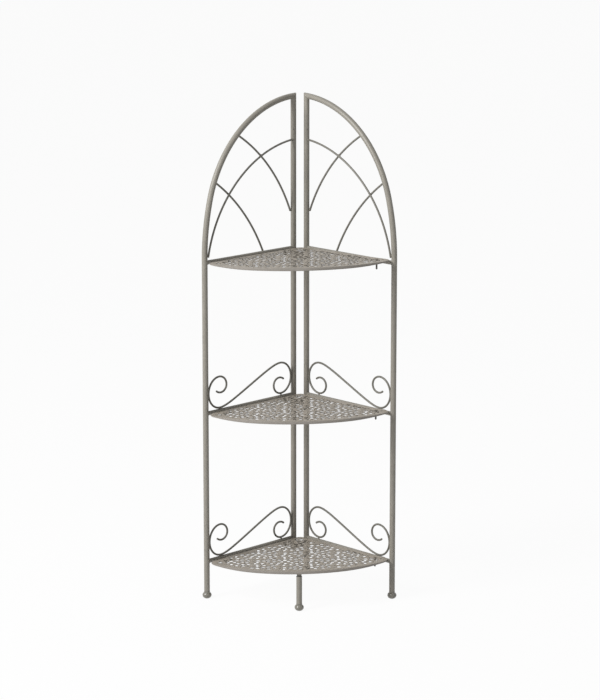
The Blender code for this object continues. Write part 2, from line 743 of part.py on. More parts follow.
def rest_ledge(name, frame, level):
    """A tongue on the right rail, just under the turned edge of the shelf."""
    start, end = LEDGE_PLACE - LEDGE_WIDTH / 2, LEDGE_PLACE + LEDGE_WIDTH / 2
    drop = HEM_DEPTH / math.cos(SHELF_TILT) + WELD_GAP
    top = shelf_top(2 * CORNER_STEP + start) - drop
    low = top - LEDGE_THICKNESS
    seat = RAIL_R + WELD_GAP
    turns = [math.acos(min(1, z / seat)) for z in (low, top)]
    inner = [(seat * math.sin(a), seat * math.cos(a)) for a in spread(*turns, 4)]
    outline = [*inner[:-1], (inner[-1][0], top), (LEDGE_REACH, top), (LEDGE_REACH, low)]
    bm = stood_up(extruded(outline, [], start, end))
    bmesh.ops.transform(bm, matrix=Matrix.Scale(inwards(1), 4, (0, 1, 0)), verts=bm.verts)
    make_object(name, bm, frame, Matrix.Translation((0, 0, level)))


def stop_pin(name, shelf, tilted, level):
    """An upright pin under the shelf that stands inside the right rail."""
    place = panel_matrix(1) @ Vector((STOP_PLACE, inwards(1) * STOP_INSET, level))
    top = shelf_top(2 * CORNER_STEP + STOP_PLACE) - SHEET - 2 * WELD_GAP
    radius = STOP_DIAMETER / 2
    profile = [(radius / 2, -STOP_BELOW_RAIL), (radius, radius / 2 - STOP_BELOW_RAIL), (radius, top)]
    make_object(name, turned(profile, PIN_SIDES), shelf, tilted.inverted() @ Matrix.Translation(place))


def leg(shelf, tilted):
    """The stub under the bottom shelf's rim, and the leg and foot that pull off it."""
    level = RAIL_LEVELS["bottom"]
    place = Vector((0, CORNER_Y - LEG_REACH, 0))
    top = level + shelf_top(CORNER_STEP + LEG_REACH * DIAGONAL) - SHEET - 2 * WELD_GAP
    shoulder = level - STUB_BELOW_RAIL
    leg_top = shoulder - STUB_NECK
    stub = STUB_DIAMETER / 2
    profile = [(SPIGOT_R, leg_top - STUB_SPIGOT), (SPIGOT_R, shoulder), (stub, shoulder), (stub, top)]
    here = tilted.inverted() @ Matrix.Translation(place)
    make_object("leg_stub", turned(profile, TUBE_SIDES), shelf, here)
    base = make_empty("front_leg_slide", Matrix.Translation(place), shelf)
    bottom = FOOT_HEIGHT + WELD_GAP
    walls = [(TUBE_R, bottom), (TUBE_R, leg_top), (BORE_R, leg_top), (BORE_R, bottom)]
    make_object("front_leg", turned(walls, TUBE_SIDES, bore=True), base)
    foot("front_foot", base, (0, 0, 0))


def shelf(tier, level, left, right):
    """One shelf on its hinges. Its own space has X along the pivot and Y across the sheet."""
    pivot = Matrix.Translation((0, PIVOT_IN, level - PIVOT_BELOW_RAIL))
    tilted = panel_matrix(-1) @ pivot @ Matrix.Rotation(SHELF_TILT, 4, "X")
    base = make_empty(f"shelf_{tier}", tilted)
    shelf_plate(f"shelf_plate_{tier}", base)
    for place, end in zip(HINGE_PLACES, ("inner", "outer")):
        hinge_lug(f"hinge_lug_{tier}_{end}", left, place, level)
        hinge_clip(f"hinge_clip_{tier}_{end}", base, place)
        hinge_pin(f"hinge_pin_{tier}_{end}", base, place)
    stop_pin(f"stop_pin_{tier}", base, tilted, level)
    rest_ledge(f"rest_ledge_{tier}", right, level)
    if tier == TIERS[0]:
        leg(base, tilted)


def main():
    clear_scene()
    left = side_frame("left", -1)
    right = side_frame("right", 1)
    tail = LOWEST_RAIL - INNER_TAIL
    inner_tube("left_inner_tube", left, tail)
    plug("left_inner_plug", left, tail)
    inner_tube("right_inner_tube", right, FOOT_HEIGHT + WELD_GAP)
    foot("right_inner_foot", right, (0, 0, 0), math.pi / 4)
    links = make_empty("corner_links", Matrix.Translation((-CORNER_HALF, CORNER_Y, 0)))
    for tier, level in RAIL_LEVELS.items():
        corner_strap(tier, links, level)
        shelf(tier, level, left, right)


main()
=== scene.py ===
"""Looks of the folding corner shelf: painted tube, wire and perforated sheet round the fixed frame."""

import math

import bmesh
import bpy
from mathutils import Matrix, Vector, noise
from mathutils.geometry import delaunay_2d_cdt


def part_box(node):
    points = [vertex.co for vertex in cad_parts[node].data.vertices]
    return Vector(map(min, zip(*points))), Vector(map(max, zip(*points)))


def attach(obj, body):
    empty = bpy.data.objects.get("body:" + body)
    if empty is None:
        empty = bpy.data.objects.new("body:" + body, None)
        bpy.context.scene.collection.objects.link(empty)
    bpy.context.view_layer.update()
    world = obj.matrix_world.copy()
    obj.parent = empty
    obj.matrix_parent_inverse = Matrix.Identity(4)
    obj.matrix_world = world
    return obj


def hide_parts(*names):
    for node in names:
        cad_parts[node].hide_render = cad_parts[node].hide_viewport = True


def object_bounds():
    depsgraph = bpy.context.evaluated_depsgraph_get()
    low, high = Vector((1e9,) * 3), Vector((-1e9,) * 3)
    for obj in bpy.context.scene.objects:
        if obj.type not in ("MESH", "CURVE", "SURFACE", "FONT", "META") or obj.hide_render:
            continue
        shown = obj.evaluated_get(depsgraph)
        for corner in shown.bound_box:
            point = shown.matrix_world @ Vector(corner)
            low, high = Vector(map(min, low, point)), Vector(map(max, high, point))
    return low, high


bl_info = {
    "name": "Corner Shelf Looks",
    "version": (1, 0, 0),
    "blender": (4, 5, 0),
    "location": "View3D > Sidebar > Corner Shelf",
    "description": "Dresses the corner shelf's fixed frame with tubes, wires, welds and punched shelves",
    "category": "Object",
}

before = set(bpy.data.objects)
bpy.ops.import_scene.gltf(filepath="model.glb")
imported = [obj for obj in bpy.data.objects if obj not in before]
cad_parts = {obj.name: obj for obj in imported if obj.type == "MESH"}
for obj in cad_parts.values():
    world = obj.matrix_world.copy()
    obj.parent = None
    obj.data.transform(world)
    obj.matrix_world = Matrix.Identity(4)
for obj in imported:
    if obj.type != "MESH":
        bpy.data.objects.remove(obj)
CAD_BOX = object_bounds()

MM = 0.001
TIERS = ("bottom", "middle", "top")
SIDES = {"left": -1, "right": 1}
DIAGONAL = math.sqrt(0.5)


def level_of(node):
    """The height of a node's middle."""
    low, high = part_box(node)
    return (low.z + high.z) / 2


# Shapes that the frame fixes
UNIT_HEIGHT = CAD_BOX[1].z
RAIL_LEVELS = {tier: level_of(f"left_rail_{tier}") for tier in TIERS}
FOOT_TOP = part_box("front_leg")[0].z
PANEL_WIDTH = 271 * MM
CORNER_HALF = 14.7 * MM
CORNER_Y = 139.75 * MM
SEAT_GAP = 0.3 * MM

# Arch
LEAN_RADIUS = 512 * MM
LEAN_TURN = math.radians(15.2)
ARCH_RADIUS = 274.3 * MM
ARCH_CENTRE = PANEL_WIDTH - LEAN_RADIUS + (LEAN_RADIUS - ARCH_RADIUS) * math.cos(LEAN_TURN)
ARCH_END = math.acos(-ARCH_CENTRE / ARCH_RADIUS)
MITRE_SLOPE = 1 / math.tan(ARCH_END / 2)
LEAN_LEAD = 60 * MM

# Arch wires: how high, how far along or how far round each end is, how much each bows, and its facets
LONG_WIRE = {"foot": 8.2 * MM, "rise": 245.5 * MM, "bulge": 0.163, "steps": 48}
CROSS_WIRE = {"rise": 87 * MM, "turn": math.radians(48.4), "bulge": -0.080, "steps": 40}
SIDE_WIRE = {"reach": 94.5 * MM, "turn": math.radians(22.7), "bulge": -0.067, "steps": 32}

# Scrolls
SCROLL_HEIGHT = 72 * MM
SCROLL_LOOP_RADIUS = 35.2 * MM
SCROLL_TAIL_TURN = math.radians(42)
SCROLL_HANDLE_SHARES = (0.17, 0.64, 1.24)
SCROLL_QUARTER_SHARES = ((0.94, 1), (0.9, 1), (0.63, 0.58), (0.49, 0.46), (0.55, 0.5))

# Shelves
SHELF_RADIUS = PANEL_WIDTH + 17 * MM
TIP_RADIUS = 24 * MM
APEX_RADIUS = 12 * MM
RIM_RUN = math.radians(24)
HEM_DEPTH = 1.6 * MM
BEND = 1.4 * MM
FOLD_LIFT = 0.25 * MM
FOLD_SHARE = 0.45
FOLD_FROM = 1.7
INNER_BEND_SHARE = 0.9
SHELF_TILT = math.radians(1.65)
PIVOT_IN = 11.1 * MM
PIVOT_BELOW_RAIL = 3.25 * MM
HINGE_DROP = 4 * MM
EDGE_GAP = 7.2 * MM
CORNER_STEP = CORNER_HALF * DIAGONAL
EDGE = EDGE_GAP - CORNER_STEP

# The rounding under the turned edge: how far in, and how far up as a share of the depth below the hem
RIM_ROUND = ((0, 0.30), (0.3 * MM, 0.12), (0.7 * MM, 0.03))

# Punched pattern: a ring of petals is how many, how far out, how long and how wide. A flower is its
# place as shares of the pitch, its turn and its rings
LARGE_RINGS = (
    (5, 12.8 * MM, 10.2 * MM, 7.8 * MM),
    (10, 25.4 * MM, 10.4 * MM, 7.8 * MM),
    (15, 37.8 * MM, 9.8 * MM, 7.8 * MM),
)
SMALL_RINGS = ((4, 12.8 * MM, 10.2 * MM, 7.8 * MM),)
PAIR = ((2, 13.4 * MM, 10.2 * MM, 7.8 * MM),)
FLOWERS = (
    ((0.90, 0.36), math.radians(12), LARGE_RINGS),
    ((0.40, 0.86), math.radians(40), SMALL_RINGS),
    ((0.40, 0.36), math.radians(90), PAIR),
    ((0.90, 0.86), 0, PAIR),
)
HOLE_GAP = 0.1 * MM
PETAL_TAPER = 0.30

# The pressed edge of an opening: how much wider it is and how far down, as shares of the dish
DISH_SHARES = ((1.5, 0), (0.55, 0.45), (0, 1))

# Feet and leg, with edges as how far out and up in millimetres
FOOT_SOLE = ((-1, 0.4), (-0.5, 0.1))
FOOT_COLLAR = ((0, -0.5), (-0.5, -0.05), (-2, 0))
PLUG_EDGE = ((-1.4, 0), (-0.5, 0.1), (0, 0.5), (0, 1.7), (-2, 1.9))
SPIGOT_TIP = ((3, 0), (4.2, 1))
SPIGOT_TIP_RISE = 3 * MM
SPIGOT_STEP = 0.2 * MM
SPIGOT_COLLAR_EDGE = ((-0.3, 0), (0, 0.3))
FOOT_SQUAT = 0.84
FOOT_FLAT_SHARE = 0.5
FOOT_NECK_STEP = 0.3 * MM
MOULD_LINE = 0.12 * MM
MOULD_LINE_TURN = 0.05
TUBE_WALL = 1 * MM
TUBE_LIP = 0.35 * MM
SPIGOT_LOOSE = 0.3 * MM
SPIGOT_COLLAR_RADIUS = 5.4 * MM
SPIGOT_COLLAR_DROP = 3.2 * MM
SPIGOT_WELD = 0.5 * MM
SPIGOT_WELD_DROP = 0.4 * MM

# Welds: how rippled and lumpy they are, as shares of their size, and how fine the lumps are
RIPPLE_SHARE = 0.10
LUMP_SHARE = 0.18
LUMP_SCALE = 900
DROP_LUMP_SHARE = 0.16
DROP_LUMP_SCALE = 1.4
DROP_VARIETY = 70
DROP_FINENESS = 3
SEAM_SHARE = 0.6
SEAM_SINK_SHARE = 0.45
SEAM_TOP_SHARE = 0.7

# Weld drops: half their size along the panel, across it and upwards
UPRIGHT_DROP = (1.5 * MM, 2.6 * MM, 2.9 * MM)
RAIL_DROP = (3.0 * MM, 2.6 * MM, 1.3 * MM)
FRONT_DROP = (2.6 * MM, 2.6 * MM, 1.7 * MM)
CROSSING_DROP = (2.2 * MM, 1.5 * MM, 2.0 * MM)
SCROLL_DROP = (2.6 * MM, 2.0 * MM, 1.6 * MM)
CORNER_DROP = (1.5 * MM, 1.5 * MM, 1.5 * MM)
CORNER_REACH = 12 * MM
FRONT_DROP_SINK = 1.6 * MM
FRONT_DROP_IN = 0.6 * MM
CROSSING_OFFSET = (1.3 * MM, 0.6 * MM)

# Rails and wires: how far their ends sink into what they meet, and how a wire's ends are rounded
RAIL_SINK_SHARE = 0.7
LONG_WIRE_SINK = 1.2 * MM
WIRE_SINK = 2.2 * MM
DOME_TURNS = (0.5, 0.85, 1.15, 1.4)
DOME_SHARE = 0.6

# Facets
LEAN_STEPS, ARCH_STEPS = 20, 72
HANDLE_STEPS, QUARTER_STEPS = 20, 14
BALL_STEPS = 36
BEND_STEPS = 6
TIP_STEPS, FRONT_STEPS, APEX_STEPS = 16, 80, 10
SADDLE_SIDES, SADDLE_RIPPLES = 64, 16
SEAM_SIDES, SEAM_RIPPLES = 72, 22
SPIGOT_WELD_SIDES, SPIGOT_WELD_RIPPLES = 48, 14
TUBE_SIDES = 40
RAIL_SIDES = 32
WIRE_SIDES = 20
FOOT_SIDES = 48
HOLE_SIDES = 14
BEAD_SIDES = 8

# Meshes
MERGE_WITHIN = 1e-7
CORNERS_WITHIN = 1e-9
SMOOTH_BELOW = math.radians(35)
BEVEL_FROM = math.radians(50)

# Stage
FLOOR_HALF = 20
PAPER_TONE = 0.92
GLOW_SHARE = 0.95
LIGHT_AIM = (0, 0, 0.55)
KEY_PLACE, KEY_SIZE = (-3.2, -2.2, 3.3), (1.6, 2.4)
FILL_PLACE, FILL_SIZE = (2.8, -3.2, 1.4), (2.0, 2.4)
SENSOR_WIDTH = 36
VIEW_END = 100


def setting(kind=bpy.props.FloatProperty, **limits):
    """A maker of one kind of setting, each with its name, default and description."""
    return lambda name, default, note: kind(name=name, description=note, default=default, **limits)


length = setting(min=0, unit="LENGTH", precision=4)
colour = setting(bpy.props.FloatVectorProperty, min=0, max=1, size=3, subtype="COLOR")
share = setting(min=0, max=1, subtype="FACTOR")
angle = setting(subtype="ANGLE")
focal = setting(min=1, unit="CAMERA")
power = setting(min=0, unit="POWER")
offset = setting(min=-1, max=1, subtype="FACTOR")


class CORNERSHELF_PG_metal(bpy.types.PropertyGroup):
    tube_diameter: length("Tube Diameter", 12.7 * MM, "Outside diameter of the uprights and the leg")
    rail_diameter: length("Rail Diameter", 9.5 * MM, "Outside diameter of the rails under the shelves")
    wire_diameter: length("Wire Diameter", 4.5 * MM, "Diameter of the scrolls and the arch's wires")
    weld_bead: length("Weld Bead", 0.9 * MM, "Radius of the weld beads round the joints")
    foot_diameter: length("Foot Diameter", 20.75 * MM, "Widest diameter of the ball feet")
    edge_round: length("Edge Round", 0.25 * MM, "Rounding on the edges of the small fittings")


class CORNERSHELF_PG_sheet(bpy.types.PropertyGroup):
    thickness: length("Thickness", 0.8 * MM, "Thickness of the shelf sheet")
    rim_depth: length("Rim Depth", 6.5 * MM, "How far the front edge is turned down")
    pattern_pitch: length("Pattern Pitch", 84.5 * MM, "Distance after which the punched pattern repeats")
    side_border: length("Side Border", 9 * MM, "Plain border along the two straight sides")
    front_border: length("Front Border", 11 * MM, "Plain border along the curved front")
    hole_size: length("Hole Size", 9.4 * MM, "Diameter of the flowers' middle openings")
    dot_size: length("Dot Size", 3.4 * MM, "Diameter of the small holes between the petals")
    dish: length("Dish", 0.4 * MM, "How far each hole's edge is pressed down")


class CORNERSHELF_PG_finish(bpy.types.PropertyGroup):
    tube_colour: colour("Tube Colour", (0.274, 0.256, 0.219), "Paint of the uprights, rails and leg")
    wire_colour: colour("Wire Colour", (0.175, 0.167, 0.142), "Paint of the wires and scrolls")
    sheet_colour: colour("Sheet Colour", (0.350, 0.311, 0.258), "Paint of the shelves")
    # The turned edge is the same painted sheet; this darker copy of the sheet colour is painted shade on
    # its steep faces
    rim_colour: colour("Rim Colour", (0.300, 0.275, 0.246), "Paint of the shelves' turned edges")
    foot_colour: colour("Foot Colour", (0.210, 0.198, 0.165), "Plastic of the feet")
    fitting_colour: colour("Fitting Colour", (0.085, 0.080, 0.072), "Dark metal of the pins and rivets")
    paint_roughness: share("Paint Roughness", 0.42, "How satin the paint is")


class CORNERSHELF_PG_stage(bpy.types.PropertyGroup):
    camera_distance: length("Camera Distance", 5.7682, "From the corner's line to the camera")
    camera_height: length("Camera Height", 1.7928, "Height of the camera over the floor")
    camera_pitch: angle("Camera Pitch", 0.1934, "How far the camera looks down")
    camera_turn: angle("Camera Turn", 0.0063, "How far the camera stands to the right of square on")
    lens: focal("Lens", 133.99, "Focal length in millimetres")
    shift: offset("Shift", -0.0857, "Vertical shift of the lens")
    key_strength: power("Key Light", 215, "Watts of the key light")
    fill_strength: power("Fill Light", 5, "Watts of the fill light")
    room_light: share("Room Light", 0.22, "Strength of the light from all round")


class Socket:
    """A shader socket on which Python's arithmetic adds Math nodes."""

    def __init__(self, finish, socket):
        self.finish = finish
        self.socket = socket

    def joined(self, operation, first, second):
        return self.finish.node("ShaderNodeMath", {"operation": operation}, {0: first, 1: second})

    def __add__(self, other):
        return self.joined("ADD", self, other)

    def __radd__(self, other):
        return self.joined("ADD", other, self)

    def __mul__(self, other):
        return self.joined("MULTIPLY", self, other)

    def __rmul__(self, other):
        return self.joined("MULTIPLY", other, self)


class Finish:
    """A material or a world whose nodes are made one call at a time."""

    def __init__(self, owner):
        owner.use_nodes = True
        self.tree = owner.node_tree
        self.tree.nodes.clear()

    def node(self, kind, settings=None, sockets=None, output=0):
        """Adds a node: its settings first, then the values or links of its sockets."""
        made = self.tree.nodes.new(kind)
        for key, value in (settings or {}).items():
            if key == "stops":
                for element, (place, tone) in zip(made.color_ramp.elements, value):
                    element.position = place
                    element.color = (tone, tone, tone, 1)
            else:
                setattr(made, key, value)
        for key, value in (sockets or {}).items():
            if isinstance(value, Socket):
                self.tree.links.new(value.socket, made.inputs[key])
            else:
                made.inputs[key].default_value = value
        return Socket(self, made.outputs[output])

    def place(self):
        """Object coordinates, in metres."""
        return self.node("ShaderNodeTexCoord", output="Object")

    def speckle(self, scale, detail, roughness=0.5):
        """Noise from 0 to 1 whose features are about 1 / scale metres across."""
        sockets = {"Vector": self.place(), "Scale": scale, "Detail": detail, "Roughness": roughness}
        return self.node("ShaderNodeTexNoise", None, sockets)

    def ramped(self, value, *stops):
        """The value through a ramp whose two stops are (place, tone)."""
        return self.node("ShaderNodeValToRGB", {"stops": stops}, {"Fac": value})

    def mixed(self, amount, first, second):
        """Two colours mixed. The node has sockets of these names for each type, so they go by number."""
        sockets = {0: amount, 6: first, 7: second}
        return self.node("ShaderNodeMix", {"data_type": "RGBA"}, sockets, output=2)

    def toned(self, tone, value, start, end, dark, light):
        """A tone's shades, from dark to light as the value runs from start to end."""
        return self.mixed(self.ramped(value, (start, 0), (end, 1)), shade(tone, dark), shade(tone, light))

    def bumped(self, height, distance, under=None):
        """A normal from a height of 0 to 1 that stands for that distance, over another normal."""
        sockets = {"Height": height, "Distance": distance, "Strength": 1}
        if under:
            sockets["Normal"] = under
        return self.node("ShaderNodeBump", None, sockets)

    def finished(self, **sockets):
        """Ends the material in a Principled surface with those sockets."""
        named = {key.replace("_", " "): value for key, value in sockets.items()}
        self.shown(self.node("ShaderNodeBsdfPrincipled", None, named))

    def shown(self, surface, end="ShaderNodeOutputMaterial"):
        """Ends the nodes in that surface."""
        self.tree.links.new(surface.socket, self.tree.nodes.new(end).inputs["Surface"])


def shade(tone, factor):
    """The colour made lighter or darker."""
    return (*(min(1, channel * factor) for channel in tone), 1)


def satin_paint(finish, tone, roughness, peel):
    """Sprayed satin paint: faint clouds, fine grain, orange peel and a duller film in places."""
    clouds = finish.speckle(28, 3)
    grain = finish.speckle(2600, 2)
    film = finish.speckle(90, 4, 0.6)
    base = finish.toned(tone, clouds, 0.30, 0.70, 0.93, 1.06)
    base = finish.mixed(finish.ramped(grain, (0.42, 0), (0.72, 0.2)), base, shade(tone, 1.18))
    dull = roughness + 0.10 * film + 0.06 * clouds
    skin = finish.bumped(finish.speckle(480, 2), peel)
    skin = finish.bumped(grain, peel * 0.16, skin)
    finish.finished(
        Base_Color=base, Roughness=dull, Normal=skin, Coat_Weight=0.16, Coat_Roughness=0.28
    )


def weld_paint(finish, tone, roughness):
    """The same paint over a weld: rippled, and a little darker where it pools."""
    ripples = finish.speckle(900, 3)
    pool = finish.speckle(260, 3)
    base = finish.toned(tone, pool, 0.35, 0.7, 0.80, 1.02)
    skin = finish.bumped(ripples, 0.22 * MM)
    finish.finished(Base_Color=base, Roughness=roughness + 0.15 * pool, Normal=skin)


def sheet_paint(finish, tone, roughness):
    """Paint on pressed sheet, with the sheet's slight waves and rubbed, duller patches."""
    clouds = finish.speckle(22, 4)
    grain = finish.speckle(2400, 2)
    rubbed = finish.speckle(60, 5, 0.65)
    base = finish.toned(tone, clouds, 0.30, 0.70, 0.92, 1.06)
    base = finish.mixed(finish.ramped(grain, (0.42, 0), (0.75, 0.3)), base, shade(tone, 1.20))
    waves = finish.bumped(finish.speckle(16, 1), 0.6 * MM)
    skin = finish.bumped(finish.speckle(420, 2), 0.05 * MM, waves)
    dull = roughness + 0.12 * rubbed
    finish.finished(Base_Color=base, Roughness=dull, Normal=skin, IOR=1.36)


def hole_edge_painted_shade(finish, tone, roughness):
    """The pressed edge of a hole: the sheet's paint made very dark in patches, painted shade for the shadow
    on the hole's walls.
    """
    shade_patches = finish.speckle(700, 4, 0.6)
    base = finish.toned(tone, shade_patches, 0.38, 0.66, 0.09, 0.20)
    skin = finish.bumped(finish.speckle(1800, 2), 0.04 * MM)
    finish.finished(Base_Color=base, Roughness=roughness + 0.12 * shade_patches, Normal=skin, IOR=1.25)


def foot_plastic(finish, tone):
    """Moulded plastic with a spark-eroded grain and scuffs."""
    grain = finish.speckle(1500, 3)
    scuffs = finish.speckle(240, 4, 0.7)
    base = finish.toned(tone, scuffs, 0.48, 0.66, 0.94, 1.14)
    skin = finish.bumped(grain, 0.09 * MM)
    finish.finished(
        Base_Color=base, Roughness=0.20 + 0.15 * scuffs, Normal=skin, Coat_Weight=0.5, Coat_Roughness=0.12
    )


def dark_metal(finish, tone):
    """Oiled dark steel, brighter where it has rubbed."""
    wear = finish.speckle(420, 4, 0.6)
    base = finish.toned(tone, wear, 0.55, 0.70, 1, 2.2)
    skin = finish.bumped(finish.speckle(1400, 2), 0.05 * MM)
    finish.finished(Base_Color=base, Roughness=0.30 + 0.2 * wear, Metallic=0.8, Normal=skin)


def finish_named(name):
    """The finish of that name, made the first time that it is asked for."""
    look = f"{name}_finish"
    found = bpy.data.materials.get(look)
    if found:
        return found
    material = bpy.data.materials.new(look)
    finish = Finish(material)
    tones = bpy.context.scene.corner_shelf_finish
    rough = tones.paint_roughness
    makers = {
        "tube_paint": lambda: satin_paint(finish, tones.tube_colour, rough, 0.010 * MM),
        "wire_paint": lambda: satin_paint(finish, tones.wire_colour, rough, 0.008 * MM),
        "weld_paint": lambda: weld_paint(finish, tones.tube_colour, rough),
        "sheet_paint": lambda: sheet_paint(finish, tones.sheet_colour, rough),
        # The turned edge: the sheet paint in a darker copy, painted shade
        "rim_painted_shade": lambda: sheet_paint(finish, tones.rim_colour, rough),
        # The walls of the openings: the sheet colour made very dark, painted shade
        "hole_edge_painted_shade": lambda: hole_edge_painted_shade(finish, tones.sheet_colour, rough),
        "foot_plastic": lambda: foot_plastic(finish, tones.foot_colour),
        "dark_hardware": lambda: dark_metal(finish, tones.fitting_colour),
    }
    makers[name]()
    return material


def spread(low, high, steps):
    """Evenly spaced values from low to high, both included."""
    return [low + (high - low) * i / steps for i in range(steps + 1)]


def circle(radius, sides):
    turn = 2 * math.pi / sides
    return [(radius * math.cos(i * turn), radius * math.sin(i * turn)) for i in range(sides)]


def arc(centre, radius, start, end, steps):
    turns = spread(start, end, steps)
    return [(centre[0] + radius * math.cos(a), centre[1] + radius * math.sin(a)) for a in turns]


def bulged(start, end, wire):
    """An arc that stands off its chord, to the left, by the wire's share of the chord's length."""
    bulge = wire["bulge"]
    chord = Vector(end) - Vector(start)
    rise = abs(bulge) * chord.length
    radius = rise / 2 + chord.length_squared / (8 * rise)
    left = Vector((-chord.y, chord.x)).normalized() * math.copysign(1, bulge)
    centre = (Vector(start) + Vector(end)) / 2 + left * (rise - radius)
    first = Vector(start) - centre
    half = math.asin(chord.length / 2 / radius)
    turns = spread(0, -math.copysign(2 * half, bulge), wire["steps"])
    return [
        (
            centre.x + math.cos(t) * first.x - math.sin(t) * first.y,
            centre.y + math.sin(t) * first.x + math.cos(t) * first.y,
        )
        for t in turns
    ]


def mirrored(way, chord):
    """The direction at the other end of a chord, as on an arc."""
    return (2 * way.dot(chord) * chord - way * chord.length_squared).normalized()


def directions(path):
    """The path's direction at each of its points."""
    points = [Vector(p) for p in path]
    if len(points) == 2:
        return [(points[1] - points[0]).normalized()] * 2
    ways = [(after - before).normalized() for before, after in zip(points, points[2:])]
    return [mirrored(ways[0], points[1] - points[0]), *ways, mirrored(ways[-1], points[-1] - points[-2])]


def run_on(path, extra):
    """The path with both ends run on straight, so that they sink into what they meet."""
    ways = directions(path)
    first = Vector(path[0]) - ways[0] * extra
    last = Vector(path[-1]) + ways[-1] * extra
    return [tuple(first), *path, tuple(last)]


def sweep_rings(path, radius, sides, depth=0):
    """Rings round a path given as (along the panel, height), lying depth in from the panel."""
    return [
        [(s + a * way.y, depth + b, z - a * way.x) for a, b in circle(radius, sides)]
        for (s, z), way in zip(path, directions(path))
    ]


def loft(bm, rings, close=False, caps=False, layer=0):
    """Joins rings of points with faces, whose material is the piece's layer-th one."""
    rows = [[bm.verts.new(point) for point in ring] for ring in rings]
    pairs = list(zip(rows, rows[1:])) + ([(rows[-1], rows[0])] if close else [])
    for first, second in pairs:
        count = len(first)
        for i in range(count):
            j = (i + 1) % count
            bm.faces.new((first[i], first[j], second[j], second[i])).material_index = layer
    if caps:
        bm.faces.new(rows[0][::-1])
        bm.faces.new(rows[-1])


def domed_rod(bm, path, radius, sides, depth):
    """A rod whose two ends are rounded over, as cut and painted wire is."""
    rings = sweep_rings(path, radius, sides, depth)
    ways = directions(path)
    ends = []
    for at, way, sign in ((0, ways[0], -1), (-1, ways[-1], 1)):
        (s, z), cap = path[at], []
        for turn in DOME_TURNS:
            out = sign * radius * DOME_SHARE * math.sin(turn)
            cap.append([
                (s + way.x * out + a * way.y, depth + b, z + way.y * out - a * way.x)
                for a, b in circle(radius * math.cos(turn), sides)
            ])
        ends.append(cap)
    loft(bm, ends[0][::-1] + rings + ends[1], caps=True)


def turned(bm, profile, sides, place=None):
    """Turns (radius, height) points about Z. The profile is closed when its ends meet."""
    closed = profile[0] == profile[-1]
    rings = [[(x, y, z) for x, y in circle(r, sides)] for r, z in (profile[:-1] if closed else profile)]
    if place:
        rings = [[place @ Vector(p) for p in ring] for ring in rings]
    loft(bm, rings, close=closed, caps=not closed)


def bead(bm, loop, radius, ripples):
    """A weld bead along a loop of points, with the ripples that the torch leaves."""
    middle = sum(loop, Vector()) / len(loop)
    rings = []
    count = len(loop)
    for i, point in enumerate(loop):
        way = (loop[(i + 1) % count] - loop[i - 1]).normalized()
        out = point - middle
        out = (out - way * out.dot(way)).normalized()
        side = way.cross(out)
        ripple = RIPPLE_SHARE * math.sin(2 * math.pi * ripples * i / count)
        swell = radius * (1 + ripple + LUMP_SHARE * noise.noise(point * LUMP_SCALE))
        rings.append([point + out * a + side * b for a, b in circle(swell, BEAD_SIDES)])
    loft(bm, rings, close=True)


def blob(bm, middle, size, seed):
    """A small drop of weld."""
    made = bmesh.ops.create_icosphere(bm, subdivisions=DROP_FINENESS, radius=1)
    variety = Vector((seed, middle[0] * DROP_VARIETY, middle[2] * DROP_VARIETY))
    for vert in made["verts"]:
        swell = 1 + DROP_LUMP_SHARE * noise.noise(vert.co * DROP_LUMP_SCALE + variety)
        vert.co = Vector(middle) + Vector([c * half for c, half in zip(vert.co, size)]) * swell


def panel_matrix(side):
    """A panel's space: X along it from its inner tube, Z up."""
    along = Vector((side * DIAGONAL, -DIAGONAL, 0))
    across = Vector((0, 0, 1)).cross(along)
    matrix = Matrix((along, across, Vector((0, 0, 1)))).transposed().to_4x4()
    matrix.translation = (side * CORNER_HALF, CORNER_Y, 0)
    return matrix


def shelf_matrix(tier):
    """A shelf's space: X along its pivot under the left rail, tilted as the shelf is."""
    level = RAIL_LEVELS[tier]
    pivot = Matrix.Translation((0, PIVOT_IN, level - PIVOT_BELOW_RAIL))
    return panel_matrix(-1) @ pivot @ Matrix.Rotation(SHELF_TILT, 4, "X")


def add_object(name, data):
    obj = bpy.data.objects.new(name, data)
    bpy.context.scene.collection.objects.link(obj)
    return obj


def make_piece(name, bm, body, slot, finish=None, others=(), replaces=(), smooth=SMOOTH_BELOW, matrix=None):
    """Turns a bmesh into a piece of the object, on its body and in its finish and any others."""
    bmesh.ops.remove_doubles(bm, verts=bm.verts, dist=MERGE_WITHIN)
    bmesh.ops.recalc_face_normals(bm, faces=bm.faces)
    if matrix:
        bm.transform(matrix)
    mesh = bpy.data.meshes.new(name)
    bm.to_mesh(mesh)
    bm.free()
    mesh.shade_smooth()
    mesh.set_sharp_from_angle(angle=smooth)
    mesh.materials.append(finish_named(finish or slot))
    for other in others:
        mesh.materials.append(finish_named(other))
    obj = add_object(name, mesh)
    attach(obj, body)
    if replaces:
        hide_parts(*replaces)


def radii(metal):
    """The radii of the tubes, the rails and the wires."""
    return metal.tube_diameter / 2, metal.rail_diameter / 2, metal.wire_diameter / 2


def arch_level(tube_radius):
    """How high the mitre's middle and the arch's centre are."""
    mitre = UNIT_HEIGHT - tube_radius * MITRE_SLOPE
    return mitre, mitre - ARCH_RADIUS * math.sin(ARCH_END)


